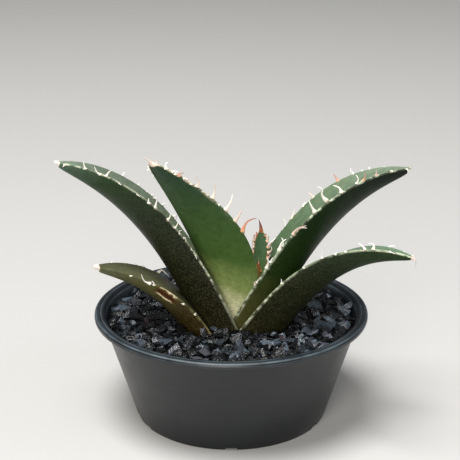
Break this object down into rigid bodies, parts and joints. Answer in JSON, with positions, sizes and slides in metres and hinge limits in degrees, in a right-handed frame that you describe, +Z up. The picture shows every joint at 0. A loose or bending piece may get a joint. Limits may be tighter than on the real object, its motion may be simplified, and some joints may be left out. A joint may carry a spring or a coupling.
{
  "type": "potted agave",
  "caption": "Small agave with arching spiny-edged succulent leaves, growing in a shallow round plastic pan topped with crushed black stone.",
  "frame": {"origin": "centre of the underside of the pan, on the surface that it stands on", "axes": "+Z up, +X to the right along the widest spread of the leaves, -Y towards the front, where the centre leaf shows its back"},
  "size_m": [0.1517, 0.12, 0.1283],
  "materials": {
    "pan_plastic": "satin moulded polypropylene, blue-black",
    "planting_mix": "coarse gritty mix, matt",
    "black_stone": "crushed angular chips, dull with glinting facets",
    "leaf_skin": "waxy satin leaf skin, with horny cream to rust-brown teeth",
    "stem_and_root": "pale fibrous, matt"
  },
  "bodies": {
    "root": {"nursery_pan": "pan_plastic", "planting_mix": "planting_mix", "stone_bed": "black_stone", "stone_chip_01": "black_stone", "stone_chip_02": "black_stone", "stone_chip_03": "black_stone", "stone_chip_04": "black_stone", "stone_chip_05": "black_stone", "stone_chip_06": "black_stone", "stone_chip_07": "black_stone", "stone_chip_08": "black_stone", "stone_chip_09": "black_stone", "stone_chip_10": "black_stone", "stone_chip_11": "black_stone", "stone_chip_12": "black_stone", "stone_chip_13": "black_stone", "stone_chip_14": "black_stone", "stone_chip_15": "black_stone", "stone_chip_16": "black_stone", "stone_chip_17": "black_stone", "stone_chip_18": "black_stone", "stone_chip_19": "black_stone", "stone_chip_20": "black_stone", "stone_chip_21": "black_stone", "stone_chip_22": "black_stone", "stone_chip_23": "black_stone", "stone_chip_24": "black_stone", "leaf_lower_left": "leaf_skin", "leaf_lower_right": "leaf_skin", "leaf_upper_left": "leaf_skin", "leaf_upper_right": "leaf_skin", "leaf_centre": "leaf_skin", "leaf_young": "leaf_skin", "leaf_bud": "leaf_skin", "stem_and_roots": "stem_and_root"}
  },
  "joints": []
}
